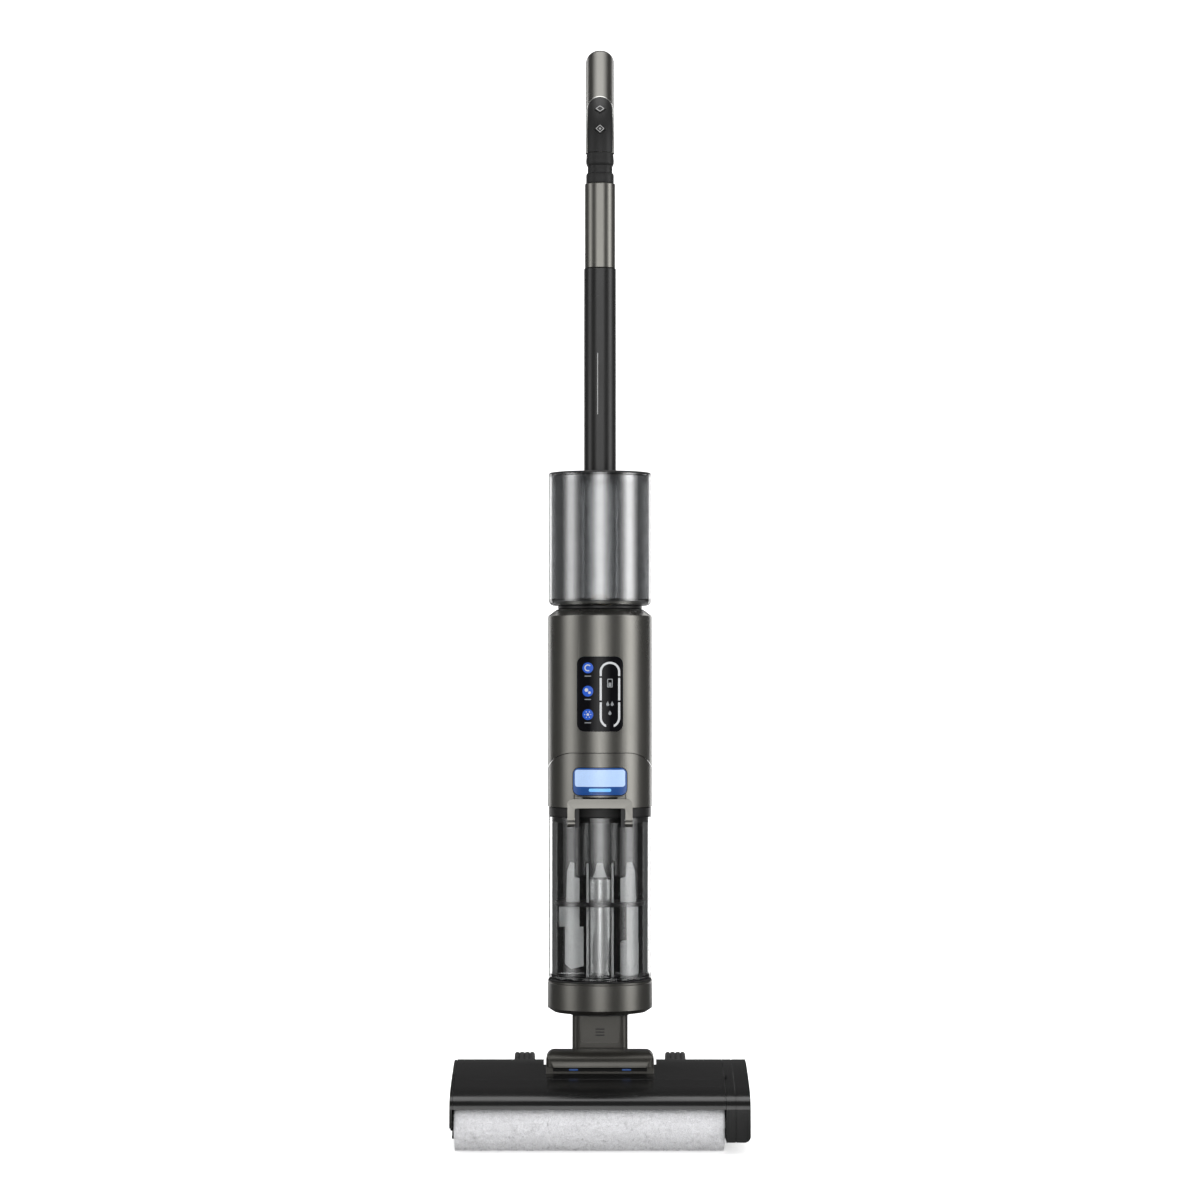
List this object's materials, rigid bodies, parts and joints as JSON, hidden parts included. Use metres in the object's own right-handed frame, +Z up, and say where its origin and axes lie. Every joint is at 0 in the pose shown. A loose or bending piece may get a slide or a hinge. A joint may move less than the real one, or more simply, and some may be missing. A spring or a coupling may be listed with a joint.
{
  "type": "wet dry floor scrubber",
  "caption": "Upright cordless wet and dry floor scrubber: powered roller head, tilting and swivelling body with clear clean and dirty water tanks, pole and bent grip.",
  "frame": {"origin": "on the floor, under the middle of the bounding box; the body's upright axis passes through it", "axes": "+Z up the body; -Y towards the front (roller and display); +X to the right seen from the front"},
  "size_m": [0.29, 0.2503, 1.108],
  "materials": {
    "black_plastic": "fine satin texture",
    "gloss_black": "high gloss",
    "grey_plastic": "satin",
    "frosted_plastic": "frosted, slightly translucent",
    "rubber": "matt",
    "tyre": "matt",
    "grey_paint": "warm grey metallic, satin",
    "neck_paint": "dark warm grey metallic",
    "pole_paint": "black satin",
    "microfibre": "fluffy pile",
    "steel": "turned",
    "brass": "turned",
    "smoke_clear": "clear smoke grey, polished",
    "display_glass": "polished black glass",
    "lit_button": "lit from behind",
    "blue_light": "lit from behind",
    "board": "solder mask",
    "cell_wrap": "shrink sleeve"
  },
  "bodies": {
    "head": {"head_base": "black_plastic", "head_cover": "gloss_black", "drive_housing": "gloss_black", "brush_scraper": "rubber", "suction_duct": "grey_plastic", "spray_bar": "grey_plastic", "pivot_cowl": "grey_paint", "headlight_strip": "blue_light", "brush_motor": "steel", "drive_belt": "rubber", "pivot_pin_right": "steel", "pivot_pin_left": "steel", "wheel_axle_right": "steel", "wheel_axle_left": "steel"},
    "brush_carrier": {"brush_end_cap": "gloss_black"},
    "brush": {"brush_core": "grey_plastic", "brush_pile": "microfibre"},
    "brush_drive": {"brush_pulley": "grey_plastic"},
    "motor_rotor": {"motor_pulley": "steel"},
    "wheel_right": {"wheel_hub_right": "black_plastic", "wheel_tyre_right": "tyre"},
    "wheel_left": {"wheel_hub_left": "black_plastic", "wheel_tyre_left": "tyre"},
    "neck": {"yoke": "neck_paint", "neck_hose": "rubber", "swivel_ring": "black_plastic"},
    "body": {"base_cup": "grey_paint", "base_seal": "rubber", "charge_contact_block": "black_plastic", "rear_spine": "grey_paint", "water_tube": "frosted_plastic", "latch_cover": "grey_paint", "suction_motor": "steel", "upper_housing": "grey_paint", "exhaust_grille": "black_plastic", "display_lens": "display_glass", "display_board": "board", "battery_pack": "cell_wrap", "water_pump": "black_plastic", "tank_seat": "black_plastic", "pole": "pole_paint", "pole_collar": "grey_paint", "grip_stem": "black_plastic", "grip_shell": "grey_paint", "grip_panel": "gloss_black"},
    "release": {"release_button": "lit_button"},
    "fan": {"fan_wheel": "grey_plastic"},
    "mode": {"mode_button": "black_plastic"},
    "power": {"power_button": "black_plastic"},
    "dirty_tank": {"dirty_tank_cup": "smoke_clear", "dirty_tank_lid": "black_plastic", "standpipe": "frosted_plastic", "filter_cage": "black_plastic"},
    "float": {"tank_float": "frosted_plastic"},
    "bail": {"tank_bail": "grey_paint"},
    "clean_tank": {"clean_tank_shell": "smoke_clear", "clean_tank_lid": "black_plastic", "outlet_valve": "brass"},
    "cap": {"fill_cap": "rubber"}
  },
  "joints": [
    {"name": "brush_pull_out", "type": "slide", "parent": "head", "child": "brush_carrier", "axis": [-1, 0, 0], "range_m": [0, 0.28]},
    {"name": "brush_spin", "type": "hinge", "parent": "brush_carrier", "child": "brush", "pos_m": [0, -0.095, 0.0275], "axis": [1, 0, 0], "continuous": true},
    {"name": "brush_pulley_spin", "type": "hinge", "parent": "head", "child": "brush_drive", "pos_m": [0, -0.095, 0.0275], "axis": [1, 0, 0], "continuous": true},
    {"name": "motor_spin", "type": "hinge", "parent": "head", "child": "motor_rotor", "pos_m": [0, -0.042, 0.042], "axis": [1, 0, 0], "continuous": true},
    {"name": "wheel_right_spin", "type": "hinge", "parent": "head", "child": "wheel_right", "pos_m": [0.076, 0.066, 0.0395], "axis": [1, 0, 0], "continuous": true},
    {"name": "wheel_left_spin", "type": "hinge", "parent": "head", "child": "wheel_left", "pos_m": [-0.076, 0.066, 0.0395], "axis": [1, 0, 0], "continuous": true},
    {"name": "body_tilt", "type": "hinge", "parent": "head", "child": "neck", "pos_m": [0, 0.02, 0.045], "axis": [-1, 0, 0], "range_deg": [0, 75]},
    {"name": "body_swivel", "type": "hinge", "parent": "neck", "child": "body", "pos_m": [0, 0, 0.126], "axis": [0, 0, 1], "range_deg": [-40, 40]},
    {"name": "release_press", "type": "slide", "parent": "body", "child": "release", "axis": [0, 1, 0], "range_m": [0, 0.003], "stiffness_N_per_m": 600, "springref_m": -0.002},
    {"name": "mode_press", "type": "slide", "parent": "body", "child": "mode", "axis": [0, 0.9486, -0.3165], "range_m": [0, 0.0012], "stiffness_N_per_m": 500, "springref_m": -0.001},
    {"name": "power_press", "type": "slide", "parent": "body", "child": "power", "axis": [0, 0.7924, -0.6099], "range_m": [0, 0.0012], "stiffness_N_per_m": 500, "springref_m": -0.001},
    {"name": "fan_spin", "type": "hinge", "parent": "body", "child": "fan", "pos_m": [0, 0, 0.38], "axis": [0, 0, 1], "continuous": true},
    {"name": "dirty_tank_pull", "type": "slide", "parent": "body", "child": "dirty_tank", "axis": [0, -1, 0], "range_m": [0, 0.15]},
    {"name": "float_rise", "type": "slide", "parent": "dirty_tank", "child": "float", "axis": [0, 0, 1], "range_m": [0, 0.02]},
    {"name": "bail_swing", "type": "hinge", "parent": "dirty_tank", "child": "bail", "pos_m": [0, -0.057, 0.316], "axis": [1, 0, 0], "range_deg": [0, 80]},
    {"name": "clean_tank_lift", "type": "slide", "parent": "body", "child": "clean_tank", "axis": [0, 0, 1], "range_m": [0, 0.15]},
    {"name": "fill_cap_open", "type": "hinge", "parent": "clean_tank", "child": "cap", "pos_m": [0, -0.005, 0.6632], "axis": [-1, 0, 0], "range_deg": [0, 95]}
  ],
  "couplings": [
    {"joint": "brush_pulley_spin", "follows": "brush_spin", "ratio": 1},
    {"joint": "motor_spin", "follows": "brush_spin", "ratio": 2}
  ]
}
